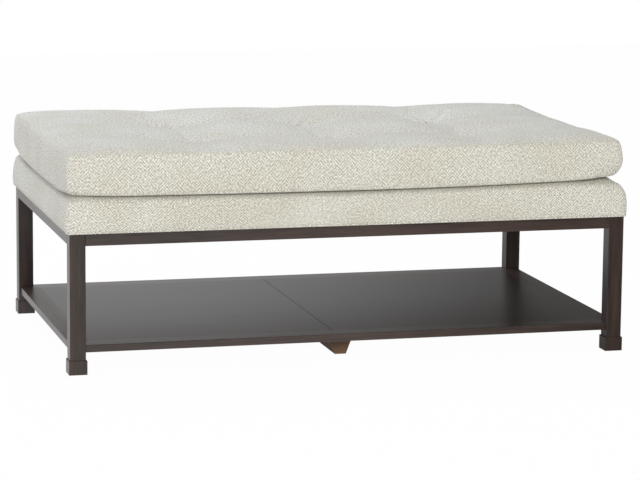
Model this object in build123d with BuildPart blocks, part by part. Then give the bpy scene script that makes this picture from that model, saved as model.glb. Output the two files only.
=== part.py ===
from build123d import *
import os
from math import cos, exp, radians, sin

# Upholstered ottoman coffee table: a dark stained wood base with a low shelf, a padded deck that is
# screwed down on the base, and a loose tufted cushion that lies on the deck.
# Millimetres. The origin is on the floor under the middle, +X runs along the length, the front faces
# -Y and +Z is up.

# Overall sizes
base_length = 1372.0
base_depth = 813.0
base_height = 335.0
deck_height = 89.0
cushion_end_overhang = 4.0
cushion_side_overhang = 2.5
cushion_edge_height = 96.0
cushion_crown = 17.0

# Legs, foot blocks and glides
leg_side = 38.0
leg_edge_round = 1.5
tenon_radius = 9.0
tenon_length = 16.0
foot_side = 44.0
foot_top = 35.0
foot_edge_round = 1.2
glide_radius = 10.0
glide_sunk = 4.0
glide_stand = 1.0
glide_edge_round = 0.6

# Aprons and their dowels
apron_height = 28.0
apron_thickness = 25.0
apron_edge_round = 1.0
dowel_radius = 4.0
dowel_chamfer = 0.8
apron_dowel_length = 34.0
apron_dowel_spacing = 13.0

# Corner blocks behind the aprons
block_leg = 92.0
block_height = 22.0
block_screw_inset = 26.0

# Shelf
shelf_top = 71.0
shelf_thickness = 18.0
shelf_inset = 5.0
shelf_border_width = 50.0
shelf_edge_round = 1.5
shelf_seam_offset = -36.0
shelf_dowel_length = 26.0
spline_width = 16.0
spline_thickness = 6.0

# Bearer under the middle of the shelf
bearer_bottom_width = 28.0
bearer_top_width = 68.0
bearer_length = 594.0
bearer_screw_length = 54.0
bearer_screw_recess = 10.0
bearer_screw_spacing = 150.0

# Screws
screw_radius = 2.2
screw_head_radius = 4.4
screw_head_height = 3.0
block_screw_length = 30.0
deck_screw_length = 60.0
deck_screw_recess = 3.0

# Deck frame and padding
deck_rail_thickness = 22.0
deck_rail_setback = 7.0
deck_rail_corner_round = 18.0
deck_cross_rail_height = 45.0
deck_block_leg = 84.0
deck_block_height = 42.0
deck_board_thickness = 9.0
deck_board_corner_radius = 60.0
deck_foam_thickness = 12.0
dust_cover_thickness = 1.0
dust_cover_setback = 9.0
fabric_thickness = 2.0
deck_bulge = 6.5
deck_roll = 24.0
deck_corner_radius = 14.0
deck_corner_easing = 120.0
welt_radius = 2.5
welt_tape_thickness = 3.0

# Cushion
cushion_corner_radius = 38.0
cushion_top_roll = 30.0
cushion_bottom_roll = 12.0
cushion_side_bulge = 3.0
cushion_side_draw = 5.0
tuft_column_spacing = 340.0
tuft_row_spacing = 304.0
tuft_depth = 30.0
tuft_valley = 9.0
tuft_reach = 52.0
puff_dip = 7.0
cushion_side_thickness = 18.0
cushion_bottom_thickness = 16.0
cushion_tuft_thickness = 4.0
core_edge_radius = 20.0
button_radius = 11.0
button_height = 7.0
button_dome_radius = 6.0
bottom_button_radius = 9.0
bottom_button_height = 4.0
button_pocket_depth = 3.5
bottom_pocket_depth = 6.0
button_edge_room = 1.5
tie_radius = 1.0

# Clearances
wood_fit = 0.1
bore_end_room = 1.0
soft_fit = 0.2
tie_fit = 0.5
cushion_gap = 0.3
overrun = 5.0

# Counts and shares
tuft_columns = 3
tuft_rows = 2
bearer_screws = 4
cross_rails = 2
crown_falloff_power = 4
side_level_shares = (0.0, 0.1, 0.3, 0.6, 1.0)
side_bulge_shares = (0.0, 0.55, 1.0, 1.0, 0.75)
side_easing_shares = (0.0, 0.0, 0.0, 0.05, 0.3)
roll_angles = (30, 55, 75, 90)
roll_easing_shares = (0.62, 0.85, 0.96, 1.0)
corner_angles = (0, 22, 45, 68)
top_roll_angle = 70
outer_puff_share = 0.8
roll_at_end_share = 0.45
crown_at_end_share = 0.15
between_tufts_shares = (0.15, 0.35, 0.5)
past_tufts_shares = (0.16, 0.38, 0.55, 0.78)

# Places worked out from the sizes
half_length = base_length / 2
half_depth = base_depth / 2
leg_x = half_length - leg_side / 2
leg_y = half_depth - leg_side / 2
leg_inner_x = half_length - leg_side
leg_inner_y = half_depth - leg_side
cushion_length = base_length + 2 * cushion_end_overhang
cushion_depth = base_depth + 2 * cushion_side_overhang
apron_mid_z = base_height - apron_height / 2
shelf_bottom = shelf_top - shelf_thickness
shelf_mid_z = shelf_top - shelf_thickness / 2
shelf_half_length = half_length - shelf_inset
shelf_half_depth = half_depth - shelf_inset
panel_half_length = shelf_half_length - shelf_border_width
panel_half_depth = shelf_half_depth - shelf_border_width
rail_half_length = half_length - deck_rail_setback
rail_half_depth = half_depth - deck_rail_setback
rail_bottom = base_height + dust_cover_thickness
deck_top = base_height + deck_height
board_top = deck_top - fabric_thickness - deck_foam_thickness
board_bottom = board_top - deck_board_thickness
deck_cover_bottom = base_height + 2 * welt_radius
cushion_bottom = deck_top + cushion_gap
cushion_edge_top = cushion_bottom + cushion_edge_height
core_bottom = cushion_bottom + cushion_bottom_thickness
seat_z = cushion_edge_top + cushion_crown - tuft_depth - button_pocket_depth
core_top = seat_z - cushion_tuft_thickness
bottom_pocket_top = cushion_bottom + bottom_pocket_depth
tuft_sites = [
    (
        tuft_column_spacing * (column - (tuft_columns - 1) / 2),
        tuft_row_spacing * (row - (tuft_rows - 1) / 2),
    )
    for column in range(tuft_columns)
    for row in range(tuft_rows)
]
block_x = half_length - apron_thickness
block_y = half_depth - apron_thickness
block_bottom = base_height - block_height
block_screw_x = block_x - block_leg + block_screw_inset
block_screw_y = block_y - block_leg + block_screw_inset
deck_screw_x = leg_inner_x - leg_side / 2
deck_screw_y = leg_inner_y - leg_side / 2
bearer_screw_places = [
    Plane(
        origin=(0, bearer_screw_spacing * (number - (bearer_screws - 1) / 2), bearer_screw_recess),
        z_dir=(0, 0, -1),
    )
    for number in range(bearer_screws)
]
corners = {"front_left": (-1, -1), "front_right": (1, -1), "rear_left": (-1, 1), "rear_right": (1, 1)}

os.makedirs("parts", exist_ok=True)


def save(piece, label):
    """Names a finished piece and writes its file."""
    piece.part.label = label
    export_step(piece.part, f"parts/{label}.step")


def apron_joints(side_x, side_y):
    """Where the aprons meet the leg of one corner: points on its faces, each with the way out of the leg."""
    apron_x = side_x * (half_length - apron_thickness / 2)
    apron_y = side_y * (half_depth - apron_thickness / 2)
    joints = []
    for step in (-1, 1):
        z = apron_mid_z + step * apron_dowel_spacing / 2
        joints.append(((side_x * leg_inner_x, apron_y, z), (-side_x, 0, 0)))
        joints.append(((apron_x, side_y * leg_inner_y, z), (0, -side_y, 0)))
    return joints


def shelf_joints(side_x, side_y):
    """Where the shelf's border meets the leg of one corner."""
    return [
        ((side_x * leg_inner_x, side_y * leg_y, shelf_mid_z), (-side_x, 0, 0)),
        ((side_x * leg_x, side_y * leg_inner_y, shelf_mid_z), (0, -side_y, 0)),
    ]


def bore_into_leg(joints, dowel_length):
    """Drills the dowel holes of the given joints into the leg being made."""
    for point, out in joints:
        with Locations(Plane(origin=point, z_dir=out)):
            Hole(radius=dowel_radius + wood_fit, depth=dowel_length / 2 + bore_end_room)


def bore_out_of_leg(joints, dowel_length):
    """Drills the same holes into the rail or board that meets the leg."""
    for point, out in joints:
        with Locations(Plane(origin=point, z_dir=tuple(-share for share in out))):
            Hole(radius=dowel_radius + wood_fit, depth=dowel_length / 2 + bore_end_room)


def dowels(joints, dowel_length):
    """Glued dowels, each half in the leg and half in what meets it."""
    for point, out in joints:
        with Locations(Plane(origin=point, z_dir=out)):
            Cylinder(dowel_radius, dowel_length)


def screw(head_place, length, slack=0.0, mode=Mode.ADD):
    """A countersunk screw, or its hole with a slack and the subtract mode. The place's Z leaves the head."""
    with Locations(head_place):
        Cylinder(
            screw_radius + slack,
            length + slack,
            align=(Align.CENTER, Align.CENTER, Align.MAX),
            mode=mode,
        )
        Cone(
            bottom_radius=screw_radius + slack,
            top_radius=screw_head_radius + slack,
            height=screw_head_height,
            align=(Align.CENTER, Align.CENTER, Align.MAX),
            mode=mode,
        )


def block_screw_places(side_x, side_y):
    """The two screws of one corner block, one into each apron, each placed at its head."""
    reach = apron_thickness / 2 + block_screw_length
    head_x = side_x * (half_length - reach)
    head_y = side_y * (half_depth - reach)
    return [
        Plane(origin=(side_x * block_screw_x, head_y, apron_mid_z), z_dir=(0, -side_y, 0)),
        Plane(origin=(head_x, side_y * block_screw_y, apron_mid_z), z_dir=(-side_x, 0, 0)),
    ]


def deck_screw_place(side_x, side_y):
    """The screw that holds one corner of the deck down, at its head."""
    head_z = block_bottom + deck_screw_recess
    return Plane(origin=(side_x * deck_screw_x, side_y * deck_screw_y, head_z), z_dir=(0, 0, -1))


def screw_mouth(head_place, depth):
    """The wide hole that a screw's head goes in by."""
    with Locations(head_place):
        Cylinder(
            screw_head_radius + wood_fit,
            depth,
            align=(Align.CENTER, Align.CENTER, Align.MIN),
            mode=Mode.SUBTRACT,
        )


def leg_notches():
    """Cuts the four legs' places out of the shelf's outline."""
    with Locations(*[(side_x * leg_x, side_y * leg_y) for side_x, side_y in corners.values()]):
        Rectangle(leg_side + 2 * wood_fit, leg_side + 2 * wood_fit, mode=Mode.SUBTRACT)


# Legs, each with a round tenon that is glued into its foot block
for corner, (side_x, side_y) in corners.items():
    with BuildPart() as leg:
        with BuildSketch(Plane.XY.offset(foot_top)):
            with Locations((side_x * leg_x, side_y * leg_y)):
                Rectangle(leg_side, leg_side)
        extrude(amount=base_height - foot_top)
        fillet(leg.edges().filter_by(Axis.Z), radius=leg_edge_round)
        with BuildSketch(Plane.XY.offset(foot_top)):
            with Locations((side_x * leg_x, side_y * leg_y)):
                Circle(tenon_radius)
        extrude(amount=-tenon_length)
        bore_into_leg(apron_joints(side_x, side_y), apron_dowel_length)
        bore_into_leg(shelf_joints(side_x, side_y), shelf_dowel_length)
    save(leg, f"leg_{corner}")

# Foot blocks, a little wider than the legs
for corner, (side_x, side_y) in corners.items():
    with BuildPart() as foot:
        with BuildSketch(Plane.XY.offset(glide_stand)):
            with Locations((side_x * leg_x, side_y * leg_y)):
                Rectangle(foot_side, foot_side)
        extrude(amount=foot_top - glide_stand)
        fillet(foot.edges(), radius=foot_edge_round)
        with Locations(Plane(origin=(side_x * leg_x, side_y * leg_y, foot_top))):
            Hole(radius=tenon_radius + wood_fit, depth=tenon_length + bore_end_room)
        with Locations(Plane(origin=(side_x * leg_x, side_y * leg_y, glide_stand), z_dir=(0, 0, -1))):
            Hole(radius=glide_radius + wood_fit, depth=glide_sunk)
    save(foot, f"foot_{corner}")

# Nylon glides, sunk into the foot blocks and standing a little proud of them
with BuildPart() as foot_glides:
    with BuildSketch():
        with Locations(*[(side_x * leg_x, side_y * leg_y) for side_x, side_y in corners.values()]):
            Circle(glide_radius)
    extrude(amount=glide_stand + glide_sunk)
    fillet(foot_glides.edges().group_by(Axis.Z)[0], radius=glide_edge_round)
save(foot_glides, "foot_glides")

# Aprons between the legs, flush with the legs' outer faces
for side, side_y in {"front": -1, "rear": 1}.items():
    with BuildPart() as apron:
        with BuildSketch(Plane.XY.offset(base_height - apron_height)):
            with Locations((0, side_y * (half_depth - apron_thickness / 2))):
                Rectangle(2 * leg_inner_x, apron_thickness)
        extrude(amount=apron_height)
        fillet(apron.edges().filter_by(Axis.X), radius=apron_edge_round)
        for side_x in (-1, 1):
            bore_out_of_leg([j for j in apron_joints(side_x, side_y) if j[1][0]], apron_dowel_length)
            screw(block_screw_places(side_x, side_y)[0], block_screw_length, wood_fit, Mode.SUBTRACT)
    save(apron, f"apron_{side}")

for side, side_x in {"left": -1, "right": 1}.items():
    with BuildPart() as apron:
        with BuildSketch(Plane.XY.offset(base_height - apron_height)):
            with Locations((side_x * (half_length - apron_thickness / 2), 0)):
                Rectangle(apron_thickness, 2 * leg_inner_y)
        extrude(amount=apron_height)
        fillet(apron.edges().filter_by(Axis.Y), radius=apron_edge_round)
        for side_y in (-1, 1):
            bore_out_of_leg([j for j in apron_joints(side_x, side_y) if j[1][1]], apron_dowel_length)
            screw(block_screw_places(side_x, side_y)[1], block_screw_length, wood_fit, Mode.SUBTRACT)
    save(apron, f"apron_{side}")

with BuildPart() as apron_dowels:
    for side_x, side_y in corners.values():
        dowels(apron_joints(side_x, side_y), apron_dowel_length)
    chamfer(apron_dowels.edges().filter_by(GeomType.CIRCLE), length=dowel_chamfer)
save(apron_dowels, "apron_dowels")

# Corner blocks, glued and screwed behind the aprons and cut out round the leg
with BuildPart() as corner_blocks:
    with BuildSketch(Plane.XY.offset(block_bottom)):
        with BuildLine():
            Polyline(
                (block_x, block_y),
                (block_x - block_leg, block_y),
                (block_x, block_y - block_leg),
                close=True,
            )
        make_face()
        with Locations((leg_x, leg_y)):
            Rectangle(leg_side + 2 * soft_fit, leg_side + 2 * soft_fit, mode=Mode.SUBTRACT)
    extrude(amount=block_height)
    for place in block_screw_places(1, 1):
        screw(place, block_screw_length, wood_fit, Mode.SUBTRACT)
        screw_mouth(place, block_leg)
    screw(deck_screw_place(1, 1), deck_screw_length, wood_fit, Mode.SUBTRACT)
    screw_mouth(deck_screw_place(1, 1), overrun)
    mirror(about=Plane.YZ)
    mirror(about=Plane.XZ)
save(corner_blocks, "corner_blocks")

with BuildPart() as corner_block_screws:
    for side_x, side_y in corners.values():
        for place in block_screw_places(side_x, side_y):
            screw(place, block_screw_length)
save(corner_block_screws, "corner_block_screws")

# Screws that hold the deck down, from below through the corner blocks
with BuildPart() as deck_screws:
    for side_x, side_y in corners.values():
        screw(deck_screw_place(side_x, side_y), deck_screw_length)
save(deck_screws, "deck_screws")

# Shelf: two leaves joined by a loose spline inside a mitred border that is notched round the legs
for side, (low_x, high_x) in {
    "left": (-panel_half_length, shelf_seam_offset),
    "right": (shelf_seam_offset, panel_half_length),
}.items():
    with BuildPart() as leaf:
        with BuildSketch(Plane.XY.offset(shelf_bottom)):
            with Locations(((low_x + high_x) / 2, 0)):
                Rectangle(high_x - low_x, 2 * panel_half_depth)
        extrude(amount=shelf_thickness)
        with Locations((shelf_seam_offset, 0, shelf_mid_z)):
            Box(
                spline_width + 2 * wood_fit,
                2 * panel_half_depth,
                spline_thickness + 2 * wood_fit,
                mode=Mode.SUBTRACT,
            )
        for place in bearer_screw_places:
            screw(place, bearer_screw_length, wood_fit, Mode.SUBTRACT)
    save(leaf, f"shelf_leaf_{side}")

with BuildPart() as shelf_spline:
    with Locations((shelf_seam_offset, 0, shelf_mid_z)):
        Box(spline_width, 2 * panel_half_depth, spline_thickness)
save(shelf_spline, "shelf_spline")

for side, side_y in {"front": -1, "rear": 1}.items():
    with BuildPart() as border:
        with BuildSketch(Plane.XY.offset(shelf_bottom)):
            Rectangle(2 * shelf_half_length, 2 * shelf_half_depth)
            leg_notches()
            with BuildLine():
                Polyline(
                    (-shelf_half_length, side_y * shelf_half_depth),
                    (shelf_half_length, side_y * shelf_half_depth),
                    (panel_half_length, side_y * panel_half_depth),
                    (-panel_half_length, side_y * panel_half_depth),
                    close=True,
                )
            make_face(mode=Mode.INTERSECT)
        extrude(amount=shelf_thickness)
        outer_edges = border.edges().filter_by(Axis.X).sort_by(Axis.Y)
        fillet(outer_edges[:2] if side_y < 0 else outer_edges[-2:], radius=shelf_edge_round)
        for side_x in (-1, 1):
            bore_out_of_leg([j for j in shelf_joints(side_x, side_y) if j[1][0]], shelf_dowel_length)
    save(border, f"shelf_border_{side}")

for side, side_x in {"left": -1, "right": 1}.items():
    with BuildPart() as border:
        with BuildSketch(Plane.XY.offset(shelf_bottom)):
            Rectangle(2 * shelf_half_length, 2 * shelf_half_depth)
            leg_notches()
            with BuildLine():
                Polyline(
                    (side_x * shelf_half_length, -shelf_half_depth),
                    (side_x * shelf_half_length, shelf_half_depth),
                    (side_x * panel_half_length, panel_half_depth),
                    (side_x * panel_half_length, -panel_half_depth),
                    close=True,
                )
            make_face(mode=Mode.INTERSECT)
        extrude(amount=shelf_thickness)
        outer_edges = border.edges().filter_by(Axis.Y).sort_by(Axis.X)
        fillet(outer_edges[:2] if side_x < 0 else outer_edges[-2:], radius=shelf_edge_round)
        for side_y in (-1, 1):
            bore_out_of_leg([j for j in shelf_joints(side_x, side_y) if j[1][1]], shelf_dowel_length)
    save(border, f"shelf_border_{side}")

with BuildPart() as shelf_dowels:
    for side_x, side_y in corners.values():
        dowels(shelf_joints(side_x, side_y), shelf_dowel_length)
    chamfer(shelf_dowels.edges().filter_by(GeomType.CIRCLE), length=dowel_chamfer)
save(shelf_dowels, "shelf_dowels")

# Bearer: a tapered rail that runs front to back under the shelf and stands on the floor
with BuildPart() as shelf_bearer:
    with BuildSketch(Plane.XZ):
        with BuildLine():
            Polyline(
                (-bearer_bottom_width / 2, 0),
                (bearer_bottom_width / 2, 0),
                (bearer_top_width / 2, shelf_bottom),
                (-bearer_top_width / 2, shelf_bottom),
                close=True,
            )
        make_face()
    extrude(amount=bearer_length / 2, both=True)
    for place in bearer_screw_places:
        screw(place, bearer_screw_length, wood_fit, Mode.SUBTRACT)
        screw_mouth(place, bearer_screw_recess)
save(shelf_bearer, "shelf_bearer")

with BuildPart() as shelf_bearer_screws:
    for place in bearer_screw_places:
        screw(place, bearer_screw_length)
save(shelf_bearer_screws, "shelf_bearer_screws")

# Deck frame: rails on edge, cross rails and corner blocks under a plywood board
rail_inner_x = rail_half_length - deck_rail_thickness
rail_inner_y = rail_half_depth - deck_rail_thickness
for side, side_y in {"front": -1, "rear": 1}.items():
    with BuildPart() as rail:
        with BuildSketch(Plane.XY.offset(rail_bottom)):
            with Locations((0, side_y * (rail_half_depth - deck_rail_thickness / 2))):
                Rectangle(2 * rail_half_length, deck_rail_thickness)
        extrude(amount=board_bottom - rail_bottom)
        upright_edges = rail.edges().filter_by(Axis.Z).sort_by(Axis.Y)
        fillet(upright_edges[:2] if side_y < 0 else upright_edges[-2:], radius=deck_rail_corner_round)
    save(rail, f"deck_rail_{side}")

for side, side_x in {"left": -1, "right": 1}.items():
    with BuildPart() as rail:
        with BuildSketch(Plane.XY.offset(rail_bottom)):
            with Locations((side_x * (rail_half_length - deck_rail_thickness / 2), 0)):
                Rectangle(deck_rail_thickness, 2 * rail_inner_y)
        extrude(amount=board_bottom - rail_bottom)
    save(rail, f"deck_rail_{side}")

with BuildPart() as deck_cross_rails:
    with BuildSketch(Plane.XY.offset(board_bottom - deck_cross_rail_height)):
        with GridLocations(2 * rail_inner_x / (cross_rails + 1), 0, cross_rails, 1):
            Rectangle(deck_rail_thickness, 2 * rail_inner_y)
    extrude(amount=deck_cross_rail_height)
save(deck_cross_rails, "deck_cross_rails")

with BuildPart() as deck_corner_blocks:
    with BuildSketch(Plane.XY.offset(rail_bottom)):
        with BuildLine():
            Polyline(
                (rail_inner_x, rail_inner_y),
                (rail_inner_x - deck_block_leg, rail_inner_y),
                (rail_inner_x, rail_inner_y - deck_block_leg),
                close=True,
            )
        make_face()
    extrude(amount=deck_block_height)
    screw(deck_screw_place(1, 1), deck_screw_length, wood_fit, Mode.SUBTRACT)
    mirror(about=Plane.YZ)
    mirror(about=Plane.XZ)
save(deck_corner_blocks, "deck_corner_blocks")

with BuildPart() as deck_board:
    with BuildSketch(Plane.XY.offset(board_bottom)):
        RectangleRounded(2 * rail_half_length, 2 * rail_half_depth, deck_board_corner_radius)
    extrude(amount=deck_board_thickness)
save(deck_board, "deck_board")

with BuildPart() as deck_dust_cover:
    with BuildSketch(Plane.XY.offset(base_height)):
        Rectangle(2 * (half_length - dust_cover_setback), 2 * (half_depth - dust_cover_setback))
        with GridLocations(2 * deck_screw_x, 2 * deck_screw_y, 2, 2):
            Circle(screw_radius + wood_fit, mode=Mode.SUBTRACT)
    extrude(amount=dust_cover_thickness)
save(deck_dust_cover, "deck_dust_cover")


# Deck padding: foam over the board and round the rails, and the fabric cover over the foam
def deck_form(inset, mode=Mode.ADD):
    """The deck's outer form, drawn in by a thickness: sides that swell, a rolled top edge, eased corners."""
    roll = deck_roll - inset
    side_top = deck_top - inset - roll
    levels = [
        (deck_cover_bottom + share * (side_top - deck_cover_bottom), swell * deck_bulge - inset, easing)
        for share, swell, easing in zip(side_level_shares, side_bulge_shares, side_easing_shares)
    ]
    side_grow = levels[-1][1]
    levels += [
        (side_top + roll * sin(radians(angle)), side_grow - roll * (1 - cos(radians(angle))), easing)
        for angle, easing in zip(roll_angles, roll_easing_shares)
    ]
    sections = []
    for z, grow, easing in levels:
        corner = deck_corner_radius - inset + easing * deck_corner_easing
        with BuildSketch(Plane.XY.offset(z)) as level:
            RectangleRounded(base_length + 2 * grow, base_depth + 2 * grow, corner)
        sections.append(level.sketch)
    loft(sections=sections, mode=mode)


with BuildPart() as deck_cover:
    deck_form(0)
    deck_form(fabric_thickness, Mode.SUBTRACT)
save(deck_cover, "deck_cover")

with BuildPart() as deck_foam:
    deck_form(fabric_thickness + soft_fit)
    with BuildSketch(Plane.XY.offset(deck_cover_bottom)):
        RectangleRounded(2 * rail_half_length, 2 * rail_half_depth, deck_rail_corner_round)
    extrude(amount=board_bottom - deck_cover_bottom, mode=Mode.SUBTRACT)
    with BuildSketch(Plane.XY.offset(board_bottom)):
        RectangleRounded(2 * rail_half_length, 2 * rail_half_depth, deck_board_corner_radius)
    extrude(amount=deck_board_thickness, mode=Mode.SUBTRACT)
save(deck_foam, "deck_foam")

# Self welt along the deck's lower edge, with the tape that is tacked to the rails
with BuildPart() as deck_welt:
    with BuildSketch(Plane.XY.offset(rail_bottom)):
        RectangleRounded(
            2 * (rail_half_length + welt_tape_thickness),
            2 * (rail_half_depth + welt_tape_thickness),
            deck_rail_corner_round + welt_tape_thickness,
        )
        RectangleRounded(
            2 * rail_half_length, 2 * rail_half_depth, deck_rail_corner_round, mode=Mode.SUBTRACT
        )
    extrude(amount=deck_cover_bottom - rail_bottom)
    with BuildSketch(Plane.XY.offset(base_height), mode=Mode.PRIVATE) as welt_plan:
        RectangleRounded(
            base_length - 2 * welt_radius, base_depth - 2 * welt_radius, deck_corner_radius - welt_radius
        )
    welt_line = welt_plan.sketch.faces()[0].outer_wire().translate((0, 0, welt_radius))
    with BuildSketch(Plane(origin=welt_line @ 0, z_dir=welt_line % 0)):
        Circle(welt_radius)
    sweep(path=welt_line)
save(deck_welt, "deck_welt")


# Cushion: a foam core in a fabric cover lined with fibre, drawn down by buttons tied through it
def cushion_stations():
    """Places along the length where the cushion's section is drawn, closer at the tufts and the ends."""
    half = cushion_length / 2
    corner = cushion_corner_radius
    last_tuft = tuft_column_spacing * (tuft_columns - 1) / 2
    places = {0.0, last_tuft}
    for column in range(tuft_columns - 1):
        for share in between_tufts_shares:
            places.add(last_tuft - tuft_column_spacing * (column + share))
            places.add(last_tuft - tuft_column_spacing * (column + 1 - share))
    places.update(last_tuft + (half - corner - last_tuft) * share for share in past_tufts_shares)
    places.add(half - corner)
    places.update(half - corner * (1 - cos(radians(angle))) for angle in corner_angles)
    rising = {round(place, 3) for place in places if place >= 0}
    return sorted(rising | {-place for place in rising})


def tuft_pull(x):
    """How strongly the nearest column of tufts draws the top down at a place, from 0 to 1."""
    return max(exp(-(((x - column_x) / tuft_reach) ** 2)) for column_x, _ in tuft_sites)


def cushion_section(x):
    """The cushion's section at one place along its length."""
    half = cushion_length / 2
    corner = cushion_corner_radius
    past = max(0.0, corner - (half - abs(x)))
    full_share = (1 - (past / corner) ** 2) ** 0.5
    roll_share = roll_at_end_share + (1 - roll_at_end_share) * full_share
    top_roll = cushion_top_roll * roll_share
    bottom_roll = cushion_bottom_roll * roll_share
    side_y = cushion_depth / 2 - corner * (1 - full_share) - cushion_side_draw * (1 - (x / half) ** 2)
    low_z = cushion_bottom + bottom_roll * (1 - full_share)
    edge_z = cushion_edge_top - top_roll * (1 - full_share)
    crown_share = 1 - (1 - crown_at_end_share) * (abs(x) / half) ** crown_falloff_power
    crown = cushion_crown * crown_share
    row_y = tuft_row_spacing / 2
    row_z = edge_z + crown - tuft_valley * roll_share - (tuft_depth - tuft_valley) * tuft_pull(x)
    middle_z = edge_z + crown - puff_dip * tuft_pull(x)
    outer_z = edge_z + outer_puff_share * crown - puff_dip / 2 * tuft_pull(x)
    half_turn = radians(top_roll_angle) / 2
    roll_end_y = side_y - top_roll * (1 - cos(2 * half_turn))
    roll_end_z = edge_z - top_roll * (1 - sin(2 * half_turn))
    with BuildSketch(Plane.YZ.offset(x)) as section:
        with BuildLine():
            Line((side_y - bottom_roll, low_z), (bottom_roll - side_y, low_z))
            for side in (-1, 1):
                ThreePointArc(
                    (side * (side_y - bottom_roll), low_z),
                    (
                        side * (side_y - bottom_roll * (1 - sin(radians(45)))),
                        low_z + bottom_roll * (1 - cos(radians(45))),
                    ),
                    (side * side_y, low_z + bottom_roll),
                )
                ThreePointArc(
                    (side * side_y, low_z + bottom_roll),
                    (
                        side * (side_y + cushion_side_bulge * roll_share),
                        (low_z + bottom_roll + edge_z - top_roll) / 2,
                    ),
                    (side * side_y, edge_z - top_roll),
                )
                ThreePointArc(
                    (side * side_y, edge_z - top_roll),
                    (
                        side * (side_y - top_roll * (1 - cos(half_turn))),
                        edge_z - top_roll * (1 - sin(half_turn)),
                    ),
                    (side * roll_end_y, roll_end_z),
                )
                ThreePointArc(
                    (side * roll_end_y, roll_end_z),
                    (side * (roll_end_y + row_y) / 2, outer_z),
                    (side * row_y, row_z),
                )
            ThreePointArc((-row_y, row_z), (0, middle_z), (row_y, row_z))
        make_face()
    return section.sketch


def at_tufts(radius, low_z, high_z, mode=Mode.ADD):
    """An upright round at every tuft."""
    with Locations(*[(x, y, low_z) for x, y in tuft_sites]):
        Cylinder(radius, high_z - low_z, align=(Align.CENTER, Align.CENTER, Align.MIN), mode=mode)


tie_bore_radius = tie_radius + tie_fit
core_half_length = cushion_length / 2 - cushion_side_thickness
core_half_depth = cushion_depth / 2 - cushion_side_draw - cushion_side_thickness
with BuildPart() as cushion_cover:
    loft(sections=[cushion_section(x) for x in cushion_stations()], ruled=True)
    at_tufts(tie_bore_radius, cushion_bottom - overrun, seat_z + tuft_depth, Mode.SUBTRACT)
    with BuildSketch(Plane.XY.offset(core_bottom)):
        RectangleRounded(2 * core_half_length, 2 * core_half_depth, core_edge_radius)
    extrude(amount=core_top - core_bottom, mode=Mode.SUBTRACT)
    at_tufts(button_radius + button_edge_room, seat_z, seat_z + tuft_depth, Mode.SUBTRACT)
    pocket_radius = bottom_button_radius + button_edge_room
    at_tufts(pocket_radius, cushion_bottom - overrun, bottom_pocket_top, Mode.SUBTRACT)
save(cushion_cover, "cushion_cover")

with BuildPart() as cushion_core:
    with BuildSketch(Plane.XY.offset(core_bottom + soft_fit)):
        RectangleRounded(
            2 * (core_half_length - soft_fit), 2 * (core_half_depth - soft_fit), core_edge_radius - soft_fit
        )
        with Locations(*tuft_sites):
            Circle(tie_bore_radius, mode=Mode.SUBTRACT)
    extrude(amount=core_top - core_bottom - 2 * soft_fit)
save(cushion_core, "cushion_core")

with BuildPart() as cushion_top_buttons:
    at_tufts(button_radius, seat_z + soft_fit, seat_z + soft_fit + button_height)
    fillet(cushion_top_buttons.edges().group_by(Axis.Z)[-1], radius=button_dome_radius)
save(cushion_top_buttons, "cushion_top_buttons")

with BuildPart() as cushion_bottom_buttons:
    top_z = bottom_pocket_top - soft_fit
    at_tufts(bottom_button_radius, top_z - bottom_button_height, top_z)
save(cushion_bottom_buttons, "cushion_bottom_buttons")

with BuildPart() as cushion_ties:
    at_tufts(tie_radius, bottom_pocket_top - soft_fit, seat_z + soft_fit)
save(cushion_ties, "cushion_ties")
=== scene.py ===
import math
from functools import partial

import bmesh
import bpy
import numpy as np
from mathutils import Matrix, Vector


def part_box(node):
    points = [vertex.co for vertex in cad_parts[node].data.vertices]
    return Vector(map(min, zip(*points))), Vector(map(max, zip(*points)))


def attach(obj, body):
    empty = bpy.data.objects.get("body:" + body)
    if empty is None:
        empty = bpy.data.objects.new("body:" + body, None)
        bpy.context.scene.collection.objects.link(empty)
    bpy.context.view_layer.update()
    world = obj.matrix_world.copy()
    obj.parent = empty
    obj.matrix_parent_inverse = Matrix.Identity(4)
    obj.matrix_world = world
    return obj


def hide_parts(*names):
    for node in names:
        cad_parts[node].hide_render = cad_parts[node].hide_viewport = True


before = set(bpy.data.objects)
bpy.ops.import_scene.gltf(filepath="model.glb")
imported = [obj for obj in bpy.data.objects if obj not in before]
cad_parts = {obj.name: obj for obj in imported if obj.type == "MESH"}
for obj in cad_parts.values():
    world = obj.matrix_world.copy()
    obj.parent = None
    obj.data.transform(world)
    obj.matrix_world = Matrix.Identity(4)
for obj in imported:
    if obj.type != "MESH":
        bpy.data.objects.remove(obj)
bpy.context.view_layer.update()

bl_info = {
    "name": "Ottoman coffee table",
    "version": (1, 0, 0),
    "blender": (4, 5, 0),
    "location": "3D View > Sidebar > Ottoman",
    "description": "Upholsters the packed ottoman coffee table, stains its wood and sets a studio stage",
    "category": "Object",
}


def linear(code):
    """The linear colour of an sRGB hex value."""
    shares = [int(code[start:start + 2], 16) / 255 for start in (1, 3, 5)]
    return tuple(share / 12.92 if share <= 0.04045 else ((share + 0.055) / 1.055) ** 2.4 for share in shares)


def box_of(*names):
    """The lowest and highest corners of some CAD nodes together, as arrays."""
    boxes = [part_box(name) for name in names]
    low = np.min([np.array(box[0]) for box in boxes], axis=0)
    high = np.max([np.array(box[1]) for box in boxes], axis=0)
    return low, high


# Settings: lengths are in metres

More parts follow.
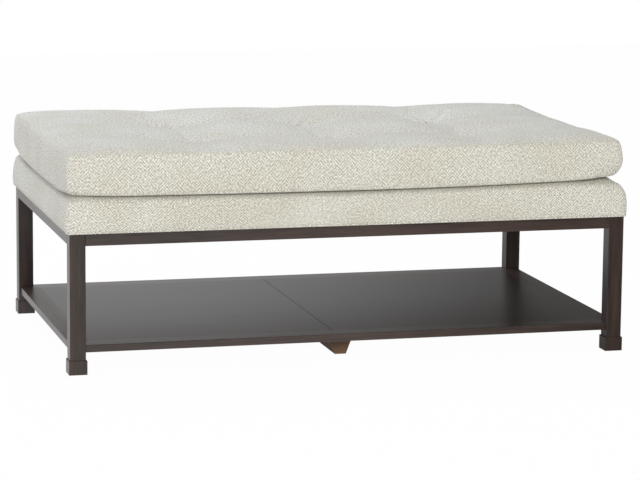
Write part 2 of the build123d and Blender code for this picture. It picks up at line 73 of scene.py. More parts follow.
class CushionSettings(bpy.types.PropertyGroup):
    corner: bpy.props.FloatProperty(
        name="Corner radius", description="Plan radius of the cushion's corners",
        default=0.016, unit="LENGTH"
    )
    top_seam: bpy.props.FloatProperty(
        name="Top seam", description="Height of the seam round the top", default=0.520, unit="LENGTH"
    )
    crown: bpy.props.FloatProperty(
        name="Crown", description="How much the filled top stands above its seam",
        default=0.011, unit="LENGTH"
    )
    shoulder: bpy.props.FloatProperty(
        name="Shoulder", description="How far from the seam the top rises to its crown",
        default=0.030, unit="LENGTH"
    )
    tuft_depth: bpy.props.FloatProperty(
        name="Tuft depth", description="How far the buttons are drawn down from the crown",
        default=0.034, unit="LENGTH"
    )
    tuft_reach: bpy.props.FloatProperty(
        name="Tuft reach", description="How far round a button the top is drawn down",
        default=0.030, unit="LENGTH"
    )
    row_valley: bpy.props.FloatProperty(
        name="Row valley", description="Depth of the soft valley along each row",
        default=0.018, unit="LENGTH"
    )
    column_valley: bpy.props.FloatProperty(
        name="Column valley", description="Depth of the soft valley across at each button",
        default=0.015, unit="LENGTH"
    )
    bottom_seam: bpy.props.FloatProperty(
        name="Bottom seam", description="Height of the bottom seam above the deck",
        default=0.007, unit="LENGTH"
    )
    swell: bpy.props.FloatProperty(
        name="Swell", description="The most that air pressure may move the cloth",
        default=0.004, unit="LENGTH"
    )
    cell: bpy.props.FloatProperty(
        name="Cloth grid", description="Spacing of the cloth's points before smoothing",
        default=0.008, unit="LENGTH"
    )


class DeckSettings(bpy.types.PropertyGroup):
    corner: bpy.props.FloatProperty(
        name="Corner radius", description="Plan radius of the deck's corners", default=0.007, unit="LENGTH"
    )
    cell: bpy.props.FloatProperty(
        name="Cloth grid", description="Spacing of the cloth's points before smoothing",
        default=0.010, unit="LENGTH"
    )
    swell: bpy.props.FloatProperty(
        name="Swell", description="The most that air pressure may move the cloth",
        default=0.0025, unit="LENGTH"
    )
    welt_radius: bpy.props.FloatProperty(
        name="Welt radius", description="Radius of the self welt", default=0.0025, unit="LENGTH"
    )


class FabricSettings(bpy.types.PropertyGroup):
    light: bpy.props.FloatVectorProperty(
        name="Light yarn", description="Colour of the raised yarn",
        subtype="COLOR", default=linear("#FAFBF9")
    )
    dark: bpy.props.FloatVectorProperty(
        name="Dark yarn", description="Colour of the sunk yarn", subtype="COLOR", default=linear("#B9BAB5")
    )
    band: bpy.props.FloatProperty(
        name="Band width", description="Width of one band of the herringbone",
        default=0.0147, unit="LENGTH"
    )
    pitch: bpy.props.FloatProperty(
        name="Rib pitch", description="Spacing of the slanting ribs along a band",
        default=0.0078, unit="LENGTH"
    )


class WoodSettings(bpy.types.PropertyGroup):
    dark: bpy.props.FloatVectorProperty(
        name="Dark grain", description="Stain in the open grain", subtype="COLOR", default=linear("#231B19")
    )
    light: bpy.props.FloatVectorProperty(
        name="Light grain", description="Stain on the close grain",
        subtype="COLOR", default=linear("#463833")
    )


class StageSettings(bpy.types.PropertyGroup):
    azimuth: bpy.props.FloatProperty(
        name="Azimuth", description="How far the camera stands round to the left of the front",
        default=math.radians(14.93), subtype="ANGLE"
    )
    elevation: bpy.props.FloatProperty(
        name="Elevation", description="How far the camera looks down",
        default=math.radians(9.52), subtype="ANGLE"
    )
    roll: bpy.props.FloatProperty(
        name="Roll", description="How far the camera leans", default=math.radians(0.55), subtype="ANGLE"
    )
    place: bpy.props.FloatVectorProperty(
        name="Place", description="Where the camera stands",
        default=(-1.7811, -6.7737, 1.4078), unit="LENGTH"
    )
    lens: bpy.props.FloatProperty(
        name="Lens", description="Focal length in millimetres", default=157.93, subtype="DISTANCE_CAMERA"
    )


GROUPS = {
    "ottoman_cushion": CushionSettings,
    "ottoman_deck": DeckSettings,
    "ottoman_fabric": FabricSettings,
    "ottoman_wood": WoodSettings,
    "ottoman_stage": StageSettings,
}


def settings_of(name):
    """The settings group that a piece's operator reads."""
    return getattr(bpy.context.scene, name)


# Small tools for meshes

HAIR = 1e-5    # points nearer than this are at the same place


def smooth_step(low, high, value):
    """0 below low, 1 above high and a smooth rise between them."""
    share = np.clip((value - low) / (high - low), 0.0, 1.0)
    return share * share * (3 - 2 * share)


def smooth_least(first, second, blend):
    """The lesser of two lengths, with a soft change from one to the other."""
    mix = np.clip(0.5 + 0.5 * (second - first) / blend, 0, 1)
    return np.maximum(second * (1 - mix) + first * mix - blend * mix * (1 - mix), 0.0)


def read(items, name, width=1, kind=float):
    """One property of all of a mesh's points, face corners or faces, as an array."""
    values = np.empty(len(items) * width, dtype=kind)
    items.foreach_get(name, values)
    return values.reshape(-1, width) if width > 1 else values


def points_of(piece):
    """A mesh's points as an array."""
    return read(piece.data.vertices, "co", 3)


def move_points(piece, points):
    """Puts a mesh's points where an array says."""
    piece.data.vertices.foreach_set("co", points.ravel())
    piece.data.update()


def select_only(piece):
    """Makes a piece the only selected and the active object."""
    bpy.ops.object.select_all(action="DESELECT")
    piece.select_set(True)
    bpy.context.view_layer.objects.active = piece


def add_group(piece, name, chosen):
    """Gives a piece a vertex group of the chosen points, at full weight."""
    piece.vertex_groups.new(name=name).add(np.flatnonzero(chosen).tolist(), 1.0, "REPLACE")


def flat_grid(name, across, deep, size_x, size_y, z):
    """A level grid of faces round the origin at a height."""
    bpy.ops.object.select_all(action="DESELECT")
    bpy.ops.mesh.primitive_grid_add(x_subdivisions=across, y_subdivisions=deep, size=1, location=(0, 0, z))
    piece = bpy.context.object
    piece.name = name
    piece.scale = (size_x, size_y, 1)
    bpy.ops.object.transform_apply(location=True, rotation=True, scale=True)
    return piece


def boxed_block(name, half_x, half_y, low_z, high_z, cell, rows):
    """A block of top panel, boxing and bottom panel, whose two seam rings are vertex groups.

    rows are the heights of the boxing's rows of faces as shares of its height, from the top down."""
    across = 2 * round(half_x / cell)
    deep = 2 * round(half_y / cell)
    piece = flat_grid(name, across, deep, 2 * half_x, 2 * half_y, high_z)
    bpy.ops.object.mode_set(mode="EDIT")
    bpy.ops.mesh.select_all(action="SELECT")
    bpy.ops.mesh.duplicate_move(TRANSFORM_OT_translate={"value": (0, 0, low_z - high_z)})
    bpy.ops.mesh.select_all(action="SELECT")
    bpy.ops.mesh.select_mode(type="EDGE")
    bpy.ops.mesh.region_to_loop()
    mesh = bmesh.from_edit_mesh(piece.data)
    for edge in mesh.edges:
        if edge.select and edge.verts[0].co.z < (low_z + high_z) / 2:
            edge.select_set(False)
    bmesh.update_edit_mesh(piece.data)
    for share in rows:
        drop = share * (low_z - high_z)
        bpy.ops.mesh.extrude_edges_move(TRANSFORM_OT_translate={"value": (0, 0, drop)})
    bpy.ops.mesh.select_all(action="SELECT")
    bpy.ops.mesh.remove_doubles(threshold=HAIR)
    bpy.ops.mesh.normals_make_consistent(inside=False)
    bpy.ops.object.mode_set(mode="OBJECT")
    points = points_of(piece)
    on_edge = (np.abs(points[:, 0]) > half_x - HAIR) | (np.abs(points[:, 1]) > half_y - HAIR)
    for seam, height in (("top seam", high_z), ("bottom seam", low_z)):
        add_group(piece, seam, on_edge & (np.abs(points[:, 2] - height) < HAIR))
    return piece


def round_plan(points, half_x, half_y, corner):
    """Bends the square corners of a block round in plan."""
    over_x = np.maximum(np.abs(points[:, 0]) - (half_x - corner), 0.0) / corner
    over_y = np.maximum(np.abs(points[:, 1]) - (half_y - corner), 0.0) / corner
    most = np.maximum(over_x, over_y)
    turn = math.pi / 4 * np.minimum(over_x, over_y) / np.maximum(most, 1e-9)
    near = np.where(over_x >= over_y, np.cos(turn), np.sin(turn)) * most
    far = np.where(over_x >= over_y, np.sin(turn), np.cos(turn)) * most
    bent = (over_x > 0) & (over_y > 0)
    for axis, half, out in ((0, half_x, near), (1, half_y, far)):
        moved = np.sign(points[:, axis]) * (half - corner + corner * out)
        points[:, axis] = np.where(bent, moved, points[:, axis])


def tighten_rim(points, half_x, half_y, cell):
    """Draws the rings of points next to the sides closer to them, so that a seam there is crisp."""
    for axis, half in ((0, half_x), (1, half_y)):
        away = half - np.abs(points[:, axis])
        drawn = np.interp(away, (0, cell, 2 * cell, 3 * cell), (0, 0.35 * cell, 1.35 * cell, 3 * cell))
        drawn = np.where(away < 3 * cell, drawn, away)
        points[:, axis] = np.sign(points[:, axis]) * (half - drawn)


def push_sides(points, half_x, half_y, corner, bulge):
    """Moves the points near a block's sides outwards, more the nearer they are to the side."""
    core_x = np.clip(points[:, 0], corner - half_x, half_x - corner)
    core_y = np.clip(points[:, 1], corner - half_y, half_y - corner)
    out_x = points[:, 0] - core_x
    out_y = points[:, 1] - core_y
    out = np.hypot(out_x, out_y)
    away = np.maximum(out, 1e-6)
    move = bulge * np.clip(out / corner, 0, 1)
    points[:, 0] += out_x / away * move
    points[:, 1] += out_y / away * move


def tuck_corners(points, half_x, half_y, reach, end_z, far_z, most, power=2.0):
    """Draws the upright corners in towards one end of a block, as on a stuffed corner.

    They go in by most, given for the left and the right ones, at the height end_z, and by nothing at
    far_z. A corner is drawn in over its reach along each side."""
    over_x = smooth_step(half_x - reach, half_x, np.abs(points[:, 0]))
    over_y = smooth_step(half_y - reach, half_y, np.abs(points[:, 1]))
    near = (over_x * over_y) ** 1.5
    depth = np.clip((points[:, 2] - far_z) / (end_z - far_z), 0.0, 1.0)
    depth_in = np.where(points[:, 0] < 0, *most)
    inward = depth_in * (1 - np.sqrt(np.maximum(0.0, 1 - depth ** power))) * near
    for axis in (0, 1):
        points[:, axis] -= np.sign(points[:, axis]) * inward * 0.75


def draw_seam(piece, seam, depth):
    """Draws the ring of a seam into the padding, with small puckers."""
    group = piece.vertex_groups[seam].index
    weights = np.zeros(len(piece.data.vertices))
    for vertex in piece.data.vertices:
        for member in vertex.groups:
            if member.group == group:
                weights[vertex.index] = member.weight
    points = points_of(piece)
    line = (points[:, 0] + 0.83 * points[:, 1]) * 2 * math.pi
    pucker = 1 + 0.25 * np.sin(line / 0.031) + 0.2 * np.sin(line / 0.083 + 1.0)
    drawn = depth * pucker * np.clip((weights - 0.9) / 0.1, 0, 1)
    move_points(piece, points - read(piece.data.vertices, "normal", 3) * drawn[:, None])


SWELL_FRAMES = 20
UPHOLSTERY_CLOTH = {
    "quality": 5,
    "mass": 0.4,
    "tension_stiffness": 20,
    "compression_stiffness": 20,
    "shear_stiffness": 8,
    "bending_stiffness": 1.5,
    "use_pressure": True,
    "vertex_group_mass": "held",
}


def swell_cloth(piece, held, pressure, slack, most):
    """Swells a piece as cloth under air pressure, holding some points, and caps how far each moves."""
    start = points_of(piece)
    add_group(piece, "held", held)
    cloth = piece.modifiers.new("Cloth", "CLOTH")
    for name, value in UPHOLSTERY_CLOTH.items():
        setattr(cloth.settings, name, value)
    cloth.settings.uniform_pressure_force = pressure
    cloth.settings.shrink_min = -slack
    cloth.settings.effector_weights.gravity = 0
    cloth.collision_settings.use_collision = False
    cloth.point_cache.frame_start = 1
    cloth.point_cache.frame_end = SWELL_FRAMES
    for number in range(1, SWELL_FRAMES + 1):
        bpy.context.scene.frame_set(number)
    select_only(piece)
    bpy.ops.object.modifier_apply(modifier="Cloth")
    piece.vertex_groups.remove(piece.vertex_groups["held"])
    bpy.context.scene.frame_set(1)
    move = points_of(piece) - start
    length = np.linalg.norm(move, axis=1)
    soft = most * np.tanh(length / most)
    move_points(piece, start + move * (soft / np.maximum(length, 1e-9))[:, None])


def refine(piece):
    """Smooths a piece with one applied level of subdivision."""
    select_only(piece)
    modifier = piece.modifiers.new("Smooth", "SUBSURF")
    modifier.levels = 1
    modifier.render_levels = 1
    bpy.ops.object.modifier_apply(modifier="Smooth")
    bpy.ops.object.shade_smooth()


# How the cloth lies: UV maps in metres

def corner_points(piece):
    """Where each face corner of a piece lies."""
    return points_of(piece)[read(piece.data.loops, "vertex_index", kind=np.int64)]


def set_weave(piece, uv):
    """Makes the cloth's map the only UV map of a piece."""
    mesh = piece.data
    for layer in list(mesh.uv_layers):
        mesh.uv_layers.remove(layer)
    layer = mesh.uv_layers.new(name="weave")
    layer.data.foreach_set("uv", uv.ravel())
    mesh.uv_layers.active = layer


def perimeter_place(x, y, half_x, half_y, corner):
    """How far round a rounded rectangle a point lies, from the middle of its rear side."""
    flat_x = half_x - corner
    flat_y = half_y - corner
    arc = corner * math.pi / 2
    turn = np.arctan2(y - np.clip(y, -flat_y, flat_y), x - np.clip(x, -flat_x, flat_x))
    at_end = np.abs(x) - flat_x > np.abs(y) - flat_y
    round_front = 2 * flat_x + 2 * arc + 2 * flat_y
    straight = np.select(
        [at_end & (x > 0), at_end & (x < 0), y > 0],
        [flat_x + arc + (flat_y - y), -flat_x - arc - (flat_y - y), x],
        round_front - x,
    )
    right_rear = flat_x + (math.pi / 2 - turn) * corner
    right_front = flat_x + arc + 2 * flat_y - turn * corner
    left_rear = -flat_x - (turn - math.pi / 2) * corner
    left_front = round_front + flat_x + (-math.pi / 2 - turn) * corner
    bent = np.where(x > 0, np.where(y > 0, right_rear, right_front), np.where(y > 0, left_rear, left_front))
    return np.where((np.abs(x) <= flat_x) | (np.abs(y) <= flat_y), straight, bent)


def lay_weave(piece, half_x, half_y, corner):
    """Lays the cloth on a block before it is shaped: flat panels, and boxing laid out along the sides."""
    faces = piece.data.polygons
    face_of = np.repeat(np.arange(len(faces)), read(faces, "loop_total", kind=np.int64))
    at = corner_points(piece)
    middle = read(faces, "center", 3)[face_of]
    is_side = np.abs(read(faces, "normal", 3)[face_of, 2]) < 0.5
    round_all = 4 * (half_x - corner) + 4 * (half_y - corner) + 2 * math.pi * corner
    here = perimeter_place(at[:, 0], at[:, 1], half_x, half_y, corner)
    anchor = perimeter_place(middle[:, 0], middle[:, 1], half_x, half_y, corner)
    here += round_all * np.round((anchor - here) / round_all)
    set_weave(piece, np.where(is_side[:, None], np.stack([here, at[:, 2]], 1), at[:, :2] * 1.01))


# Materials

def set_inputs(node, inputs):
    """Sets a node's inputs to values, or links them to a socket or to another node's first output."""
    for name, value in inputs.items():
        if isinstance(value, bpy.types.Node):
            value = value.outputs[0]
        if isinstance(value, bpy.types.NodeSocket):
            node.id_data.links.new(value, node.inputs[name])
        else:
            node.inputs[name].default_value = value


def add_node(tree, kind, inputs=None, stops=None, **settings):
    """Adds a node with its settings, its inputs and a colour ramp's (place, colour) stops."""
    made = tree.nodes.new(kind)
    for name, value in settings.items():
        setattr(made, name, value)
    set_inputs(made, inputs or {})
    if stops:
        for element, (place, colour) in zip(made.color_ramp.elements, stops):
            element.position = place
            element.color = (*colour, 1.0)
    return made


def empty_tree(owner):
    """Clears the nodes of a material or a world, and gives add_node for its tree."""
    owner.use_nodes = True
    owner.node_tree.nodes.clear()
    return partial(add_node, owner.node_tree)


def new_material(name):
    """A material and, if it is new, add_node for its tree and the Principled shader that it starts with."""
    material = bpy.data.materials.get(name)
    if material:
        return material, None, None
    material = bpy.data.materials.new(name)
    add = empty_tree(material)
    shader = add("ShaderNodeBsdfPrincipled")
    add("ShaderNodeOutputMaterial", {"Surface": shader})
    return material, add, shader


def herringbone():
    """Woven herringbone upholstery cloth: soft slanting ribs that turn at each band, slubby and matt.

    The ribs lean to the left or the right by bands, and noise breaks the bands up, as slubs do."""
    material, add, shader = new_material("woven herringbone upholstery")
    if shader is None:
        return material
    cloth = settings_of("ottoman_fabric")
    uv = add("ShaderNodeUVMap", uv_map="weave")
    noise = {
        name: add(
            "ShaderNodeTexNoise", {"Vector": uv, "Scale": 1 / size, "Detail": detail},
            noise_dimensions="2D",
        )
        for name, size, detail in (
            ("wander", 0.017, 2.0),    # yarns that don't lie quite straight
            ("turned", 0.0125, 1.0),   # where the ribs turn before their band ends
            ("patches", 0.021, 1.0),   # where the ribs show well or less well
            ("heather", 0.0048, 2.0),  # lighter and darker dashes of yarn
            ("yarn", 0.0014, 3.0),     # single yarns, drawn coarse enough to show
            ("broad", 0.16, 2.0),      # slow change of tone
        )
    }
    # The yarns stray from their line by up to 1.5 mm
    centred = add(
        "ShaderNodeVectorMath", {0: noise["wander"].outputs["Color"], 1: (0.5, 0.5, 0.5)},
        operation="SUBTRACT",
    )
    drift = add("ShaderNodeVectorMath", {0: centred, "Scale": 0.0030}, operation="SCALE")
    loose = add("ShaderNodeVectorMath", {0: uv, 1: drift}, operation="ADD")
    place = add("ShaderNodeSeparateXYZ", {0: loose}).outputs
    # The swing from band to band and the noise say together to which side the ribs lean
    bands = add("ShaderNodeMath", {0: place["X"], 1: math.pi / cloth.band}, operation="MULTIPLY")
    swing = add("ShaderNodeMath", {0: bands}, operation="SINE")
    breaks = add("ShaderNodeMath", {0: noise["turned"], 1: 9.0, 2: -4.5}, operation="MULTIPLY_ADD")
    lean = add("ShaderNodeMath", {0: swing, 1: breaks}, operation="ADD")
    side = add("ShaderNodeMath", {0: lean}, operation="SIGN")
    slant = add("ShaderNodeMath", {0: side, 1: 1.06}, operation="MULTIPLY")
    slanted = add("ShaderNodeMath", {0: place["X"], 1: slant, 2: place["Y"]}, operation="MULTIPLY_ADD")
    per_metre = 2 * math.pi / cloth.pitch
    turns = add("ShaderNodeMath", {0: slanted, 1: per_metre}, operation="MULTIPLY")
    wave = add("ShaderNodeMath", {0: turns}, operation="COSINE")
    rib = add("ShaderNodeMapRange", {0: wave, 1: -0.8, 2: 0.9}, interpolation_type="SMOOTHSTEP")
    clear = add("ShaderNodeMapRange", {0: noise["patches"], 1: 0.36, 2: 0.60, 3: 0.35, 4: 0.9})
    shown_rib = add("ShaderNodeMix", {"Factor": clear, 2: 0.5, 3: rib})
    dashes = add("ShaderNodeMath", {0: noise["heather"], 1: 2.1, 2: -1.05}, operation="MULTIPLY_ADD")
    uneven_rib = add("ShaderNodeMath", {0: shown_rib, 1: dashes}, operation="ADD")
    colour = add(
        "ShaderNodeValToRGB", {"Fac": uneven_rib},
        stops=((0.0, tuple(cloth.dark)), (1.0, tuple(cloth.light))),
    )
    for name, shade in (("yarn", "#DAD8D2"), ("broad", "#F7F5F1")):
        tone = add(
            "ShaderNodeValToRGB", {"Fac": noise[name]},
            stops=((0.3, linear(shade)), (0.7, linear("#FFFFFF"))),
        )
        colour = add(
            "ShaderNodeMix", {"Factor": 1.0, 6: colour, 7: tone},
            data_type="RGBA", blend_type="MULTIPLY",
        ).outputs[2]
    relief = add("ShaderNodeMath", {0: noise["yarn"], 1: 0.35, 2: rib}, operation="MULTIPLY_ADD")
    bump = add("ShaderNodeBump", {"Strength": 0.6, "Distance": 0.0007, "Height": relief})
    set_inputs(shader, {
        "Base Color": colour, "Normal": bump, "Roughness": 0.93, "Specular IOR Level": 0.25,
        "Sheen Weight": 0.12, "Sheen Roughness": 0.5,
    })
    return material


def stained_wood(name, along, streak=1.0, sheen=0.42, coat=0.25, light=None, dark=None, seam=None):
    """Maple stained dark brown under satin lacquer: fine straight grain along one axis, faint pores.

    Where seam gives a place along X, a fine dark, rough joint line is drawn across the wood there."""
    material, add, shader = new_material(name)
    if shader is None:
        return material
    wood = settings_of("ottoman_wood")
    place = add("ShaderNodeTexCoord").outputs["Object"]
    stretch = tuple(0.06 if axis == along else 1.0 for axis in range(3))
    grain_space = add("ShaderNodeMapping", {"Vector": place, "Scale": stretch})
    fine, wide, cloudy = (
        add("ShaderNodeTexNoise", {"Vector": space, "Scale": 1 / size, "Detail": detail})
        for space, size, detail in (
            (grain_space, 0.0045, 6.0), (grain_space, 0.035, 3.0), (place, 0.22, 2.0),
        )
    )
    bold = add("ShaderNodeMath", {0: wide, 1: 0.6}, operation="MULTIPLY")
    grain = add("ShaderNodeMath", {0: fine, 1: 0.4 * streak, 2: bold}, operation="MULTIPLY_ADD")
    stain = add(
        "ShaderNodeValToRGB", {"Fac": grain},
        stops=((0.34, dark or tuple(wood.dark)), (0.62, light or tuple(wood.light))),
    )
    clouds = add(
        "ShaderNodeValToRGB", {"Fac": cloudy},
        stops=((0.3, linear("#E6E0DC")), (0.7, linear("#FFFFFF"))),
    )
    colour = add(
        "ShaderNodeMix", {"Factor": 1.0, 6: stain, 7: clouds}, data_type="RGBA", blend_type="MULTIPLY"
    ).outputs[2]
    roughness = add(
        "ShaderNodeMapRange",
        {0: wide, 1: 0.3, 2: 0.7, 3: sheen - 0.05 * streak, 4: sheen + 0.05 * streak},
    )
    if seam is not None:
        spot = add("ShaderNodeSeparateXYZ", {0: place})
        from_seam = add("ShaderNodeMath", {0: spot, 1: seam}, operation="SUBTRACT")
        away = add("ShaderNodeMath", {0: from_seam}, operation="ABSOLUTE")
        line = add("ShaderNodeMapRange", {0: away, 1: 0.0004, 2: 0.0013, 3: 1.0, 4: 0.0})
        colour = add(
            "ShaderNodeMix", {"Factor": line, 6: colour, 7: (0.004, 0.003, 0.003, 1.0)},
            data_type="RGBA",
        ).outputs[2]
        roughness = add("ShaderNodeMix", {"Factor": line, 2: roughness, 3: 1.0})
    bump = add("ShaderNodeBump", {"Strength": 0.25, "Distance": 0.0002, "Height": fine})
    set_inputs(shader, {
        "Base Color": colour, "Roughness": roughness, "Normal": bump, "IOR": 1.5, "Coat Weight": coat,
        "Coat Roughness": 0.3,
    })
    return material


def plain_stuff(name, code, second, grain, roughness, metallic=0.0, relief=0.0002):
    """A simple finish with a fine mottle between two colours, whose grain is given in metres."""
    material, add, shader = new_material(name)
    if shader is None:
        return material
    place = add("ShaderNodeTexCoord").outputs["Object"]
    mottle = add("ShaderNodeTexNoise", {"Vector": place, "Scale": 1 / grain, "Detail": 4.0})
    base = add("ShaderNodeValToRGB", {"Fac": mottle}, stops=((0.3, linear(code)), (0.7, linear(second))))
    bump = add("ShaderNodeBump", {"Strength": 0.5, "Distance": relief, "Height": mottle})
    set_inputs(shader, {
        "Base Color": base, "Normal": bump, "Roughness": roughness, "Metallic": metallic,
    })
    return material


def dress(material, *names):
    """Gives CAD nodes a material."""
    for name in names:
        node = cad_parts[name]
        node.data.materials.clear()
        node.data.materials.append(material)


# The base and the pieces out of sight

CORNERS = ("front_left", "front_right", "rear_left", "rear_right")
SIDES = ("front", "rear", "left", "right")


class OTTOMAN_OT_base(bpy.types.Operator):
    """Stains the legs, feet, aprons, shelf and bearer"""
    bl_idname = "ottoman.dress_base"
    bl_label = "Stain the base"

    def execute(self, context):
        upright = stained_wood("stained maple, upright grain", 2)
        dress(upright, *[f"{part}_{corner}" for part in ("leg", "foot") for corner in CORNERS])
        lengthwise = stained_wood("stained maple, grain along the length", 0, coat=0.5)
        dress(lengthwise, "apron_front", "apron_rear", "shelf_border_front", "shelf_border_rear")
        crosswise = stained_wood("stained maple, grain front to rear", 1)
        dress(crosswise, "apron_left", "apron_right", "shelf_border_left", "shelf_border_right")
        leaf = stained_wood(
            "stained maple panel under satin lacquer", 0, streak=0.22, sheen=0.37,
            light=linear("#4C3A32"), dark=linear("#2A1F1B"), seam=float(box_of("shelf_leaf_left")[1][0]),
        )
        dress(leaf, "shelf_leaf_left", "shelf_leaf_right", "shelf_spline")
        worn = stained_wood(
            "worn stained maple", 1, streak=1.4, sheen=0.9, coat=0.0,
            light=linear("#8C7660"), dark=linear("#57493D"),
        )
        dress(worn, "shelf_bearer")
        return {"FINISHED"}


class OTTOMAN_OT_inner(bpy.types.Operator):
    """Dresses the bare wood, screws, glides and foam that hardly show"""
    bl_idname = "ottoman.dress_inner"
    bl_label = "Dress the inner pieces"

    def execute(self, context):
        bare = plain_stuff("sawn poplar", "#B79A72", "#CDB58E", 0.006, 0.75)
        dress(
            bare, "apron_dowels", "shelf_dowels", "corner_blocks", "deck_corner_blocks", "deck_cross_rails",
            *[f"deck_rail_{side}" for side in SIDES],
        )
        dress(plain_stuff("birch plywood", "#C2A67D", "#D8C29C", 0.02, 0.7), "deck_board")
        dress(
            plain_stuff("zinc plated steel", "#9C9A94", "#B4B2AB", 0.002, 0.35, metallic=1.0),
            "corner_block_screws", "deck_screws", "shelf_bearer_screws",
        )
        dress(plain_stuff("moulded nylon", "#CFCBC0", "#D9D5CB", 0.004, 0.5), "foot_glides")
        dress(
            plain_stuff("cut foam", "#E6DDBF", "#EFE8D0", 0.0015, 0.95, relief=0.0008),
            "deck_foam", "cushion_core",
        )
        dress(plain_stuff("waxed twine", "#C9C0A8", "#DBD3BE", 0.001, 0.7), "cushion_ties")
        return {"FINISHED"}


# The deck

# Its sides in profile: share of the height, and how far the cloth stands out from the base there
DECK_PROFILE = (
    (0.0, 0.0045), (0.015, 0.0065), (0.05, 0.0080), (0.15, 0.0092), (0.30, 0.0094), (0.50, 0.0084),
    (0.75, 0.0056), (1.0, 0.0010),
)
# Its top near the sides: run from the side, and how far the cloth has fallen there
DECK_TOP_EDGE = (
    (0.0, 0.0095), (0.003, 0.0062), (0.007, 0.0040), (0.012, 0.0026), (0.020, 0.0014), (0.035, 0.0005),
    (0.060, 0.0),
)
DECK_ROW = 1 / 9          # a row of faces on its sides, as a share of their height
DECK_END_BULGE = 0.0032   # how much further its ends stand out than its front and rear
WELT_STAND = 0.0045       # how far the cloth pushes the welt out
EDGE_BLEND = 0.03         # how soft the change is from the run to one side to the run to the next


def sag_line(x, y):
    """Height of the line where cushion and deck meet, from the deck's flat top: lowest in mid side."""
    low = -0.0065
    left = 0.0045 * (np.maximum(-x, 0.0) / 0.69) ** 2.2
    right = 0.0105 * (np.maximum(x, 0.0) / 0.633) ** 2.2
    return low + (left + right) * np.minimum((y / 0.37) ** 2, 1.0)


class OTTOMAN_OT_deck(bpy.types.Operator):
    """Upholsters the deck: a padded block in herringbone cloth"""
    bl_idname = "ottoman.make_deck"
    bl_label = "Upholster the deck"

    def execute(self, context):
        deck = settings_of("ottoman_deck")
        low, high = box_of("deck_cover")
        low_z, top_z = low[2] - deck.welt_radius, high[2]
        half_x, half_y = box_of("leg_front_left", "leg_rear_right")[1][:2]
        rows = (DECK_ROW / 2,) * 2 + (DECK_ROW,) * 7 + (DECK_ROW / 2,) * 2
        piece = boxed_block("deck_upholstery", half_x, half_y, low_z, top_z, deck.cell, rows)
        points = points_of(piece)
        run_x = half_x - np.abs(points[:, 0])
        run_y = half_y - np.abs(points[:, 1])
        is_top = points[:, 2] > top_z - HAIR
        round_plan(points, half_x, half_y, deck.corner)
        move_points(piece, points)
        lay_weave(piece, half_x, half_y, deck.corner)
        run = smooth_least(run_x, run_y, EDGE_BLEND)
        fall = np.interp(run, *zip(*DECK_TOP_EDGE))
        height = (points[:, 2] - low_z) / (top_z - low_z)
        edge_z = top_z - DECK_TOP_EDGE[0][1]
        sag = np.minimum(sag_line(points[:, 0], points[:, 1]), 0.0) * (1 - smooth_step(0.04, 0.14, run))
        points[:, 2] = np.where(is_top, top_z - fall + sag, low_z + height * (edge_z + sag - low_z))
        height = np.where(is_top, 1.0, height)
        near_side = np.where(is_top, np.exp(-run / 0.02), 1.0)
        bulge = np.interp(height, *zip(*DECK_PROFILE)) * near_side
        push_sides(points, half_x, half_y, deck.corner, bulge)
        # The upper corners are drawn in, the right ones much more
        tuck_corners(points, half_x, half_y, 0.16, top_z + 0.006, top_z - 0.039, (0.014, 0.058))
        points[:, 0] *= 1 + DECK_END_BULGE / half_x
        move_points(piece, points)
        swell_cloth(piece, height < 0.03, 3.0, 0.003, deck.swell)
        refine(piece)
        piece.data.materials.append(herringbone())
        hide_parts("deck_cover", "deck_foam")
        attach(piece, "table")
        return {"FINISHED"}


def rounded_outline(half_x, half_y, corner, z, steps=10):
    """Points round a rounded rectangle."""
    return [
        (
            side_x * (half_x - corner) + corner * math.cos(math.pi / 2 * (number - 1 + step / steps)),
            side_y * (half_y - corner) + corner * math.sin(math.pi / 2 * (number - 1 + step / steps)),
            z,
        )
        for number, (side_x, side_y) in enumerate(((1, -1), (1, 1), (-1, 1), (-1, -1)))
        for step in range(steps + 1)
    ]


class OTTOMAN_OT_welt(bpy.types.Operator):
    """Makes the self welt along the deck's lower edge"""
    bl_idname = "ottoman.make_welt"
    bl_label = "Make the welt"

    def execute(self, context):
        deck = settings_of("ottoman_deck")
        low, high = box_of("deck_welt")
        radius = deck.welt_radius
        line = bpy.data.curves.new("welt", "CURVE")
        line.dimensions = "3D"
        line.bevel_depth = radius
        line.bevel_resolution = 4
        spline = line.splines.new("POLY")
        outline = rounded_outline(
            high[0] - radius + WELT_STAND + 0.002, high[1] - radius + WELT_STAND,
            deck.corner - radius, low[2] + radius,
        )
        spline.points.add(len(outline) - 1)
        for point, place in zip(spline.points, outline):
            point.co = (*place, 1.0)
        spline.use_cyclic_u = True
        piece = bpy.data.objects.new("deck_self_welt", line)
        bpy.context.collection.objects.link(piece)
        select_only(piece)
        bpy.ops.object.convert(target="MESH")
        piece = bpy.context.object
        at = corner_points(piece)
        along = perimeter_place(at[:, 0], at[:, 1], high[0], high[1], deck.corner)
        set_weave(piece, np.stack([along, at[:, 2]], 1))
        bpy.ops.object.shade_smooth()
        piece.data.materials.append(herringbone())
        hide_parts("deck_welt")
        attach(piece, "table")
        return {"FINISHED"}


DUST_COVER_SAG = 0.004
DUST_COVER_RIPPLE = 0.0008
RAIL_REST = 0.03          # width of the rails that the dust cover lies flat on


